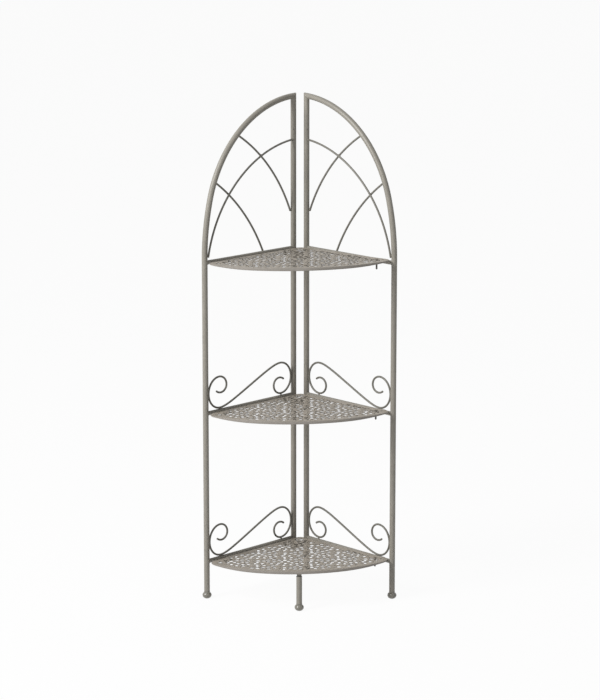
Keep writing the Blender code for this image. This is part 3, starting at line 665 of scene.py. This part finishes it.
def arch_path(tube_radius):
    """The long tube's path: up from its foot, leaning out, and round the arch to the mitre."""
    _, level = arch_level(tube_radius)
    lean_level = level - (LEAN_RADIUS - ARCH_RADIUS) * math.sin(LEAN_TURN)
    path = [(PANEL_WIDTH, FOOT_TOP), (PANEL_WIDTH, lean_level - LEAN_LEAD)]
    path += arc((PANEL_WIDTH - LEAN_RADIUS, lean_level), LEAN_RADIUS, 0, LEAN_TURN, LEAN_STEPS)
    return path + arc((ARCH_CENTRE, level), ARCH_RADIUS, LEAN_TURN, ARCH_END, ARCH_STEPS)[1:]


def arch_point(metal, turn):
    """A point just inside the arched tube."""
    radius = radii(metal)[0]
    reach = ARCH_RADIUS - radius - SEAT_GAP
    return (ARCH_CENTRE + reach * math.cos(turn), arch_level(radius)[1] + reach * math.sin(turn))


def mitred(rings, path):
    """The rings with the last one cut on the slope where the two tubes meet."""
    way = directions(path)[-1]
    middle = Vector(path[-1])
    last = []
    for x, y, z in rings[-1]:
        lift = (Vector((x, z)) - middle).dot(Vector((way.y, -way.x))) * MITRE_SLOPE
        last.append((x + way.x * lift, y, z + way.y * lift))
    return [*rings[:-1], last]


def saddle(x_seat, radius, level, seat_radius, facing):
    """The loop where a rod that runs along X meets an upright tube."""
    loop = []
    for a, b in circle(radius, SADDLE_SIDES):
        loop.append(Vector((x_seat + facing * math.sqrt(seat_radius**2 - a**2), a, level + b)))
    return loop


class CORNERSHELF_OT_tubes(bpy.types.Operator):
    """Build the uprights, the arched tubes and the rails of both frames"""

    bl_idname = "corner_shelf.tubes"
    bl_label = "Tubes And Rails"

    def execute(self, context):
        radius, rail, _ = radii(context.scene.corner_shelf_metal)
        path, mitre = arch_path(radius), arch_level(radius)[0]
        sunk = radius * RAIL_SINK_SHARE
        for label, side in SIDES.items():
            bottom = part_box(f"{label}_inner_tube")[0].z
            low = [(x, y, bottom) for x, y in circle(radius, TUBE_SIDES)]
            high = [(x, y, mitre - x * MITRE_SLOPE) for x, y in circle(radius, TUBE_SIDES)]
            arch = mitred(sweep_rings(path, radius, TUBE_SIDES), path)
            pieces = {
                f"arched_tube_{label}": (f"{label}_outer_tube", arch),
                f"upright_tube_{label}": (f"{label}_inner_tube", [low, high]),
            }
            for tier, level in RAIL_LEVELS.items():
                rings = sweep_rings([(sunk, level), (PANEL_WIDTH - sunk, level)], rail, RAIL_SIDES)
                pieces[f"shelf_rail_{label}_{tier}"] = (f"{label}_rail_{tier}", rings)
            for name, (node, rings) in pieces.items():
                bm = bmesh.new()
                loft(bm, rings, caps=True)
                body, place = f"{label}_frame", panel_matrix(side)
                make_piece(name, bm, body, "tube_paint", replaces=[node], matrix=place)
        return {"FINISHED"}


def add_wire(name, label, path, radius, node, depth=0):
    """A wire with rounded ends in one frame."""
    bm = bmesh.new()
    domed_rod(bm, path, radius, WIRE_SIDES, depth)
    body, place = f"{label}_frame", panel_matrix(SIDES[label])
    make_piece(name, bm, body, "wire_paint", replaces=[node], matrix=place)


def arch_wire_paths(metal):
    """Each arch wire's path along the panel, and the side of the panel that it lies on."""
    radius, rail, wire = radii(metal)
    rail_top = RAIL_LEVELS["top"] + rail + SEAT_GAP
    beside = radius + SEAT_GAP
    corner = (PANEL_WIDTH - beside - wire, rail_top + LONG_WIRE["foot"])
    shoulder = (beside, RAIL_LEVELS["top"] + LONG_WIRE["rise"])
    hip = (beside + wire, RAIL_LEVELS["top"] + CROSS_WIRE["rise"])
    toe = (SIDE_WIRE["reach"], rail_top + wire / 2)
    high, low = arch_point(metal, CROSS_WIRE["turn"]), arch_point(metal, SIDE_WIRE["turn"])
    return {
        "long": (bulged(shoulder, corner, LONG_WIRE), 1),
        "cross": (bulged(high, hip, CROSS_WIRE), -1),
        "side": (bulged(low, toe, SIDE_WIRE), -1),
    }


class CORNERSHELF_OT_arch_wires(bpy.types.Operator):
    """Build the bent wires in both arches"""

    bl_idname = "corner_shelf.arch_wires"
    bl_label = "Arch Wires"

    def execute(self, context):
        metal = context.scene.corner_shelf_metal
        wire = radii(metal)[2]
        for label, side in SIDES.items():
            for name, (path, lie) in arch_wire_paths(metal).items():
                path = run_on(path, LONG_WIRE_SINK if name == "long" else WIRE_SINK)
                depth = -side * lie * (wire + SEAT_GAP / 2)
                node = f"{label}_arch_{name}_wire"
                add_wire(f"arch_wire_{label}_{name}", label, path, wire, node, depth)
        return {"FINISHED"}


def half_scroll(metal):
    """From the scroll's middle down to its foot, then round four quarter turns to a short tail."""
    tube, _, wire = radii(metal)
    across = PANEL_WIDTH / 2 - tube - SEAT_GAP - wire
    across -= SCROLL_QUARTER_SHARES[0][0] * SCROLL_LOOP_RADIUS
    foot = (across, -SCROLL_HEIGHT / 2)
    near, far, run = SCROLL_HANDLE_SHARES
    handles = [(0, 0), (far * across, far * run * foot[1]), (across - near * across, foot[1]), foot]
    points = []
    for t in spread(0, 1, HANDLE_STEPS)[:-1]:
        weights = ((1 - t) ** 3, 3 * t * (1 - t) ** 2, 3 * t**2 * (1 - t), t**3)
        points.append(tuple(sum(w * h[k] for w, h in zip(weights, handles)) for k in (0, 1)))
    points.append(foot)
    for i, (wide, high) in enumerate(SCROLL_QUARTER_SHARES):
        wide, high = wide * SCROLL_LOOP_RADIUS, high * SCROLL_LOOP_RADIUS
        start = (i - 1) * math.pi / 2
        turn = SCROLL_TAIL_TURN if i == len(SCROLL_QUARTER_SHARES) - 1 else math.pi / 2
        x, y = points[-1]
        x, y = x - wide * math.cos(start), y - high * math.sin(start)
        turns = spread(start, start + turn, QUARTER_STEPS)[1:]
        points += [(x + wide * math.cos(a), y + high * math.sin(a)) for a in turns]
    return points


def scroll_path(metal, tier):
    """Both halves of a scroll, turned about its middle, standing on its rail."""
    half = half_scroll(metal)
    _, rail, wire = radii(metal)
    middle, level = PANEL_WIDTH / 2, RAIL_LEVELS[tier] + rail + SEAT_GAP + wire + SCROLL_HEIGHT / 2
    path = [(middle - s, level - z) for s, z in reversed(half[1:])]
    return path + [(middle + s, level + z) for s, z in half]


class CORNERSHELF_OT_scrolls(bpy.types.Operator):
    """Build the wire scrolls over the lower two rails of each frame"""

    bl_idname = "corner_shelf.scrolls"
    bl_label = "Scrolls"

    def execute(self, context):
        metal = context.scene.corner_shelf_metal
        for label in SIDES:
            for tier in TIERS[:2]:
                name, node = f"scroll_{label}_{tier}_wire", f"{label}_scroll_{tier}"
                add_wire(name, label, scroll_path(metal, tier), radii(metal)[2], node)
        return {"FINISHED"}


class CORNERSHELF_OT_welds(bpy.types.Operator):
    """Lay the weld beads where rails, wires and tubes meet"""

    bl_idname = "corner_shelf.welds"
    bl_label = "Welds"

    def execute(self, context):
        metal = context.scene.corner_shelf_metal
        radius, rail, wire = radii(metal)
        thick = metal.weld_bead
        mitre = arch_level(radius)[0]
        for label, side in SIDES.items():
            bm = bmesh.new()
            for level in RAIL_LEVELS.values():
                for x_seat, facing in ((0, 1), (PANEL_WIDTH, -1)):
                    bead(bm, saddle(x_seat, rail, level, radius, facing), thick, SADDLE_RIPPLES)
            seam = [
                Vector((x, y, min(mitre - x * MITRE_SLOPE, UNIT_HEIGHT - thick * SEAM_TOP_SHARE)))
                for x, y in circle(radius - thick * SEAM_SINK_SHARE, SEAM_SIDES)
            ]
            bead(bm, seam, thick * SEAM_SHARE, SEAM_RIPPLES)
            lie = -side * (wire + SEAT_GAP / 2)
            paths = arch_wire_paths(metal)
            for name, (path, layer) in paths.items():
                for i, (s, z) in enumerate((path[0], path[-1])):
                    on_rail = name == "side" and i == 1
                    blob(bm, (s, lie * layer, z), RAIL_DROP if on_rail else UPRIGHT_DROP, i)
                if name != "side":
                    front = -side * (radius - FRONT_DROP_SINK) * DIAGONAL
                    blob(bm, ((radius - FRONT_DROP_IN) * DIAGONAL, front, path[0][1]), FRONT_DROP, 2)
            for other in ("cross", "side"):
                s, z = nearest(paths["long"][0], paths[other][0])
                along, down = CROSSING_OFFSET
                for off in (-1, 1):
                    blob(bm, (s + off * along, 0, z - off * down), CROSSING_DROP, off)
            for tier in TIERS[:2]:
                for s, z in scroll_contacts(metal, tier):
                    blob(bm, (s, 0, z), SCROLL_DROP if s > CORNER_REACH else CORNER_DROP, s)
            make_piece(
                f"weld_beads_{label}", bm, f"{label}_frame", "tube_paint", "weld_paint",
                smooth=math.pi, matrix=panel_matrix(side),
            )
        return {"FINISHED"}


def nearest(first, second):
    """Where two flat paths come closest."""
    pairs = ((Vector(a), Vector(b)) for a in first for b in second)
    a, b = min(pairs, key=lambda pair: (pair[0] - pair[1]).length_squared)
    return (a + b) / 2


def scroll_contacts(metal, tier):
    """Where a scroll touches its rail and the two tubes beside it."""
    path = scroll_path(metal, tier)
    _, rail, wire = radii(metal)
    lowest = sorted(path, key=lambda p: p[1])
    near = min(path, key=lambda p: p[0])
    far = max(path, key=lambda p: p[0])
    left = next(p for p in lowest if p[0] < PANEL_WIDTH / 2)
    right = next(p for p in lowest if p[0] > PANEL_WIDTH / 2)
    contacts = [(right[0], right[1] - wire)]
    if left[1] < RAIL_LEVELS[tier] + rail + 3 * wire:
        contacts.append((left[0], left[1] - wire))
    return contacts + [(near[0] - wire, near[1]), (far[0] + wire, far[1])]


def stepped(radius, level, edge):
    """An edge's points, out and up from a radius and a level."""
    return [(radius + out * MM, level + up * MM) for out, up in edge]


def foot_profile(metal):
    """A squat ball with a mould line round it, and a collar that carries on from the tube."""
    ball = metal.foot_diameter / 2
    neck = radii(metal)[0] + FOOT_NECK_STEP
    flat = ball * FOOT_FLAT_SHARE
    low, high = math.acos(flat / ball), math.acos(neck / ball)
    rise = (FOOT_TOP * FOOT_SQUAT - SEAT_GAP) / (math.sin(low) + math.sin(high))
    middle = rise * math.sin(low)
    points = stepped(flat, 0, FOOT_SOLE)
    for a in spread(-low, high, BALL_STEPS):
        ridge = MOULD_LINE * math.exp(-((a / MOULD_LINE_TURN) ** 2)) - MOULD_LINE
        points.append(((ball + ridge) * math.cos(a), middle + rise * math.sin(a)))
    return points + stepped(neck, FOOT_TOP, FOOT_COLLAR)


def axis_of(node):
    """The matrix that moves a turned shape from the origin to a node's axis."""
    low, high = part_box(node)
    return Matrix.Translation(((low.x + high.x) / 2, (low.y + high.y) / 2, 0))


def add_plug(radius):
    """The plug in the lower end of the left inner tube."""
    node = "left_inner_plug"
    bm = bmesh.new()
    turned(bm, stepped(radius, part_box(node)[0].z, PLUG_EDGE), TUBE_SIDES, axis_of(node))
    make_piece("tube_plug", bm, "left_frame", "foot_plastic", replaces=[node])


def add_leg(radius, bore):
    """The leg's open tube, with both edges of its end rounded."""
    node = "front_leg"
    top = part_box(node)[1].z
    profile = [(radius, FOOT_TOP), (radius, top - TUBE_LIP), (radius - TUBE_LIP, top)]
    profile += [(bore + TUBE_LIP, top), (bore, top - TUBE_LIP), (bore, FOOT_TOP), (radius, FOOT_TOP)]
    bm = bmesh.new()
    turned(bm, profile, TUBE_SIDES, axis_of(node))
    make_piece("leg_tube", bm, "pull_off_leg", "tube_paint", replaces=[node])


def add_spigot(bore):
    """The bare spigot that the leg goes on, its painted collar and the weld under the shelf."""
    node = "leg_stub"
    low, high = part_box(node)
    middle = axis_of("front_leg")
    shoulder = RAIL_LEVELS["bottom"] - SPIGOT_COLLAR_DROP
    spigot, collar, top = bore - SPIGOT_LOOSE, SPIGOT_COLLAR_RADIUS, high.z - SPIGOT_WELD_DROP
    profile = stepped(0, low.z, SPIGOT_TIP)
    profile += [(spigot, low.z + SPIGOT_TIP_RISE), (spigot, shoulder - SPIGOT_STEP)]
    profile += stepped(collar, shoulder, SPIGOT_COLLAR_EDGE) + [(collar, top)]
    bm = bmesh.new()
    turned(bm, profile, TUBE_SIDES, middle)
    for face in bm.faces:
        if face.calc_center_median().z < shoulder:
            face.material_index = 1
    ring = [middle @ Vector((x, y, top)) for x, y in circle(collar, SPIGOT_WELD_SIDES)]
    bead(bm, ring, SPIGOT_WELD, SPIGOT_WELD_RIPPLES)
    make_piece("leg_spigot", bm, "bottom_shelf", "tube_paint", others=["dark_hardware"], replaces=[node])


class CORNERSHELF_OT_feet(bpy.types.Operator):
    """Build the ball feet, the plug and the pull-off front leg"""

    bl_idname = "corner_shelf.feet"
    bl_label = "Feet And Leg"

    def execute(self, context):
        metal = context.scene.corner_shelf_metal
        radius = radii(metal)[0]
        places = {
            "left_outer_foot": "left_frame",
            "right_outer_foot": "right_frame",
            "right_inner_foot": "right_frame",
            "front_foot": "pull_off_leg",
        }
        for node, body in places.items():
            bm = bmesh.new()
            turned(bm, foot_profile(metal), FOOT_SIDES, axis_of(node))
            make_piece(f"ball_{node}", bm, body, "foot_plastic", replaces=[node])
        add_plug(radius)
        add_leg(radius, radius - TUBE_WALL)
        add_spigot(radius - TUBE_WALL)
        return {"FINISHED"}


def shelf_outline(inset):
    """The shelf's edge moved inwards: X runs along the left rail and Y along the right one."""
    edge = EDGE + inset
    tip, apex = TIP_RADIUS - inset, APEX_RADIUS - inset
    centre = (math.sqrt((SHELF_RADIUS - TIP_RADIUS) ** 2 - (EDGE + TIP_RADIUS) ** 2), EDGE + TIP_RADIUS)
    turn = math.atan2(centre[1], centre[0])
    quarter = math.pi / 2
    points = arc(centre, tip, -quarter, turn, TIP_STEPS)
    points += arc((0, 0), SHELF_RADIUS - inset, turn, quarter - turn, FRONT_STEPS)[1:-1]
    points += arc(centre[::-1], tip, quarter - turn, math.pi, TIP_STEPS)
    return points + arc((edge + apex, edge + apex), apex, math.pi, 3 * quarter, APEX_STEPS)


def edge_profile(thick):
    """The turned edge's section, from the sheet's face round to its underside.

    Each point is how far in, how high, 1 where it goes down with the edge, and how far it rises from
    there as a share of the depth below the hem.
    """
    profile = []
    for a in spread(0, math.pi / 2, BEND_STEPS):
        profile.append((BEND * (1 - math.sin(a)), -BEND * DIAGONAL * (1 - math.cos(a)), 0, 0))
    profile += [(inset, 0, 1, rise) for inset, rise in RIM_ROUND]
    profile += [(thick * FOLD_FROM, 0, 1, 0), (2 * thick, FOLD_LIFT, 1, 0)]
    profile += [(2 * thick, FOLD_LIFT, 1, FOLD_SHARE), (thick, FOLD_LIFT, 1, FOLD_SHARE)]
    profile += [(thick, -BEND * DIAGONAL, 0, 0), (BEND * INNER_BEND_SHARE, -thick, 0, 0)]
    return profile + [(BEND, -thick, 0, 0)]


def rim_depths(deep):
    """How far the edge is turned down at each point of the outline."""
    depths = []
    for x, y in shelf_outline(0):
        low = max(0, min(math.atan2(y, x), math.atan2(x, y)))
        part = math.sin(min(1, low / RIM_RUN) * math.pi / 2)
        if math.hypot(x, y) < SHELF_RADIUS - TIP_RADIUS:
            part = 0
        depths.append(HEM_DEPTH + (deep - HEM_DEPTH) * part)
    return depths


def petal_hole(x, y, angle, long, wide, swell=0):
    """A drop: round on the outside and narrower towards the flower's middle, or a circle."""
    c, s = math.cos(angle), math.sin(angle)
    taper = PETAL_TAPER if long > wide else 0
    points = []
    for i in range(HOLE_SIDES):
        t = 2 * math.pi * i / HOLE_SIDES
        a = math.cos(t) * (long / 2 + swell)
        b = math.sin(t) * (wide / 2 + swell) * (1 - taper * (1 - math.cos(t)) / 2)
        points.append((x + c * a - s * b, y + s * a + c * b))
    return points


def flower(x, y, turn, sheet, rings):
    """A round opening with rings of petals round it, and small round holes between the petals."""
    openings = [(x, y, 0, sheet.hole_size, sheet.hole_size)]
    for count, reach, long, wide in rings:
        for k in range(2 * count):
            a = turn + math.pi * k / count
            size = (long, wide) if k % 2 == 0 else (sheet.dot_size, sheet.dot_size)
            openings.append((x + reach * math.cos(a), y + reach * math.sin(a), a, *size))
        turn += math.pi / count
    return openings


def reach_of(opening, other):
    """How far an opening reaches from its middle towards another one."""
    x, y, angle, long, wide = opening
    turn = math.atan2(other[1] - y, other[0] - x) - angle
    return long * wide / 2 / math.hypot(wide * math.cos(turn), long * math.sin(turn))


def pattern(sheet):
    """The flowers on a square lattice, without the openings that would run into another one."""
    pitch = sheet.pattern_pitch
    cells = range(-1, int(SHELF_RADIUS / pitch) + 1)
    openings = []
    for i in cells:
        for j in cells:
            for (across, up), turn, rings in FLOWERS:
                openings += flower((i + across) * pitch, (j + up) * pitch, turn, sheet, rings)
    kept = []
    gap = HOLE_GAP + 2 * DISH_SHARES[0][0] * sheet.dish
    for new in openings:
        if all(math.dist(new[:2], old[:2]) > reach_of(new, old) + reach_of(old, new) + gap for old in kept):
            kept.append(new)
    return kept


def punched_holes(sheet, swells):
    """For each swell, the outlines of the openings that stay inside the plain borders."""
    low, far = EDGE + sheet.side_border, SHELF_RADIUS - sheet.front_border
    openings = [
        opening for opening in pattern(sheet)
        if all(x > low and y > low and math.hypot(x, y) < far for x, y in petal_hole(*opening))
    ]
    return [[petal_hole(*opening, swell=swell) for opening in openings] for swell in swells]


def filled(outline, holes):
    """Points and triangles that fill an outline and leave its holes open."""
    points, edges, owners = [], [], []
    for owner, loop in enumerate([outline, *holes]):
        first, count = len(points), len(loop)
        points += [Vector(p) for p in loop]
        owners += [owner] * count
        edges += [(first + i, first + (i + 1) % count) for i in range(count)]
    found = delaunay_2d_cdt(points, edges, [], 1, CORNERS_WITHIN)
    triangles = [t for t in found[2] if owners[t[0]] == 0 or len({owners[i] for i in t}) > 1]
    return found[0], triangles


def add_level(bm, outline, holes, level, upwards):
    """One flat face of the sheet, facing up or down."""
    points, triangles = filled(outline, holes)
    verts = [bm.verts.new((x, y, level)) for x, y in points]
    for corners in triangles:
        bm.faces.new([verts[i] for i in (corners if upwards else corners[::-1])])


class CORNERSHELF_OT_shelves(bpy.types.Operator):
    """Build the three punched shelves with their turned edges"""

    bl_idname = "corner_shelf.shelves"
    bl_label = "Punched Shelves"

    def execute(self, context):
        sheet = context.scene.corner_shelf_sheet
        thick, dish = sheet.thickness, sheet.dish
        depths = rim_depths(sheet.rim_depth)
        place = Matrix.Translation((-CORNER_STEP, CORNER_STEP - PIVOT_IN, HINGE_DROP))
        bm = bmesh.new()
        rings = []
        for inset, level, deep, rise in edge_profile(thick):
            ring = []
            for (x, y), depth in zip(shelf_outline(inset), depths):
                ring.append((x, y, level - deep * depth + rise * (depth - HEM_DEPTH)))
            rings.append(ring)
        loft(bm, rings[::-1], layer=2)
        loops = punched_holes(sheet, [wider * dish for wider, _ in DISH_SHARES])
        add_level(bm, shelf_outline(BEND), loops[0], 0, True)
        add_level(bm, shelf_outline(BEND), loops[-1], -thick, False)
        levels = [-down * dish for _, down in DISH_SHARES] + [-thick]
        for widths in zip(*loops, loops[-1]):
            loft(bm, [[(x, y, z) for x, y in loop] for loop, z in zip(widths, levels)], layer=1)
        for tier in TIERS:
            # The walls of the openings take the second finish, which is painted shade
            make_piece(
                f"punched_shelf_{tier}", bm.copy(), f"{tier}_shelf", "sheet_paint",
                # The turned edge takes the third finish, the darker copy of the sheet paint that is painted
                # shade
                others=["hole_edge_painted_shade", "rim_painted_shade"], replaces=[f"shelf_plate_{tier}"],
                matrix=shelf_matrix(tier) @ place,
            )
        bm.free()
        return {"FINISHED"}


class CORNERSHELF_OT_fittings(bpy.types.Operator):
    """Finish the hinges, ledges, straps, rivets and stop pins that the frame brings"""

    bl_idname = "corner_shelf.fittings"
    bl_label = "Hinges And Straps"

    def execute(self, context):
        dark = ("hinge_pin", "corner_rivet", "stop_pin")
        for name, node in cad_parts.items():
            if node.hide_render:
                continue
            finish = "dark_hardware" if name.startswith(dark) else "tube_paint"
            node.data.materials.clear()
            node.data.materials.append(finish_named(finish))
            rounding = node.modifiers.new("edge_round", "BEVEL")
            rounding.width = context.scene.corner_shelf_metal.edge_round
            rounding.segments = 2
            rounding.limit_method = "ANGLE"
            rounding.angle_limit = BEVEL_FROM
        return {"FINISHED"}


def add_light(name, place, size, watts):
    """A soft rectangular lamp that shines at the unit's middle."""
    light = bpy.data.lights.new(name, "AREA")
    light.shape = "RECTANGLE"
    light.size, light.size_y = size
    light.energy = watts
    obj = add_object(name, light)
    obj.location = place
    obj.rotation_euler = (Vector(LIGHT_AIM) - Vector(place)).to_track_quat("-Z", "Y").to_euler()


def seen_directly(finish):
    """1 for rays that show the backdrop itself: to the camera, in reflections and through glass."""
    kinds = ("Is Camera Ray", "Is Glossy Ray", "Is Transmission Ray")
    camera, glossy, through = (finish.node("ShaderNodeLightPath", output=kind) for kind in kinds)
    return finish.node("ShaderNodeMath", {"operation": "MINIMUM"}, {0: camera + glossy + through, 1: 1.0})


class CORNERSHELF_OT_stage(bpy.types.Operator):
    """Set the pale floor, the soft light and the camera"""

    bl_idname = "corner_shelf.stage"
    bl_label = "Stage"

    def execute(self, context):
        scene, stage = context.scene, context.scene.corner_shelf_stage
        scene.view_settings.view_transform = "Standard"
        scene.world = bpy.data.worlds.new("pale_room")
        room = Finish(scene.world)
        seen = seen_directly(room)
        strength = stage.room_light + (1 - stage.room_light) * seen
        light = room.node("ShaderNodeBackground", None, {"Color": (1, 1, 1, 1), "Strength": strength})
        room.shown(light, "ShaderNodeOutputWorld")
        bm = bmesh.new()
        bmesh.ops.create_grid(bm, x_segments=1, y_segments=1, size=FLOOR_HALF)
        mesh = bpy.data.meshes.new("floor")
        bm.to_mesh(mesh)
        bm.free()
        add_object("floor", mesh)
        material = bpy.data.materials.new("pale_floor")
        finish = Finish(material)
        paper = finish.node("ShaderNodeBsdfDiffuse", None, {"Color": (*[PAPER_TONE] * 3, 1)})
        glow = finish.node("ShaderNodeEmission", None, {"Color": (1, 1, 1, 1), "Strength": 1.0})
        amount = GLOW_SHARE * seen_directly(finish)
        finish.shown(finish.node("ShaderNodeMixShader", None, {0: amount, 1: paper, 2: glow}))
        mesh.materials.append(material)
        add_light("key_light", KEY_PLACE, KEY_SIZE, stage.key_strength)
        add_light("fill_light", FILL_PLACE, FILL_SIZE, stage.fill_strength)
        camera = bpy.data.cameras.new("camera")
        camera.lens, camera.sensor_width, camera.shift_y = stage.lens, SENSOR_WIDTH, stage.shift
        camera.clip_end = VIEW_END
        obj = add_object("camera", camera)
        turn, far = stage.camera_turn, stage.camera_distance
        obj.location = (far * math.sin(turn), CORNER_Y - far * math.cos(turn), stage.camera_height)
        obj.rotation_euler = (math.pi / 2 - stage.camera_pitch, 0, turn)
        scene.camera = obj
        return {"FINISHED"}


class CORNERSHELF_PT_panel(bpy.types.Panel):
    """Lists the operators and the sizes, colours and stage settings"""

    bl_idname = "CORNERSHELF_PT_panel"
    bl_label = "Corner Shelf"
    bl_space_type = "VIEW_3D"
    bl_region_type = "UI"
    bl_category = "Corner Shelf"

    def draw(self, context):
        for operator in OPERATORS:
            self.layout.operator(operator.bl_idname)
        for key in SETTINGS:
            group = getattr(context.scene, key)
            box = self.layout.box()
            for name in group.__annotations__:
                box.prop(group, name)


SETTINGS = {
    "corner_shelf_metal": CORNERSHELF_PG_metal,
    "corner_shelf_sheet": CORNERSHELF_PG_sheet,
    "corner_shelf_finish": CORNERSHELF_PG_finish,
    "corner_shelf_stage": CORNERSHELF_PG_stage,
}
OPERATORS = (
    CORNERSHELF_OT_tubes,
    CORNERSHELF_OT_arch_wires,
    CORNERSHELF_OT_scrolls,
    CORNERSHELF_OT_welds,
    CORNERSHELF_OT_feet,
    CORNERSHELF_OT_shelves,
    CORNERSHELF_OT_fittings,
    CORNERSHELF_OT_stage,
)
CLASSES = (*SETTINGS.values(), *OPERATORS, CORNERSHELF_PT_panel)


def register():
    for cls in CLASSES:
        bpy.utils.register_class(cls)
    for key, group in SETTINGS.items():
        setattr(bpy.types.Scene, key, bpy.props.PointerProperty(type=group))


def unregister():
    for key in SETTINGS:
        delattr(bpy.types.Scene, key)
    for cls in reversed(CLASSES):
        bpy.utils.unregister_class(cls)


def main():
    register()
    for operator in OPERATORS:
        group, name = operator.bl_idname.split(".")
        getattr(getattr(bpy.ops, group), name)()


if __name__ == "__main__":
    main()
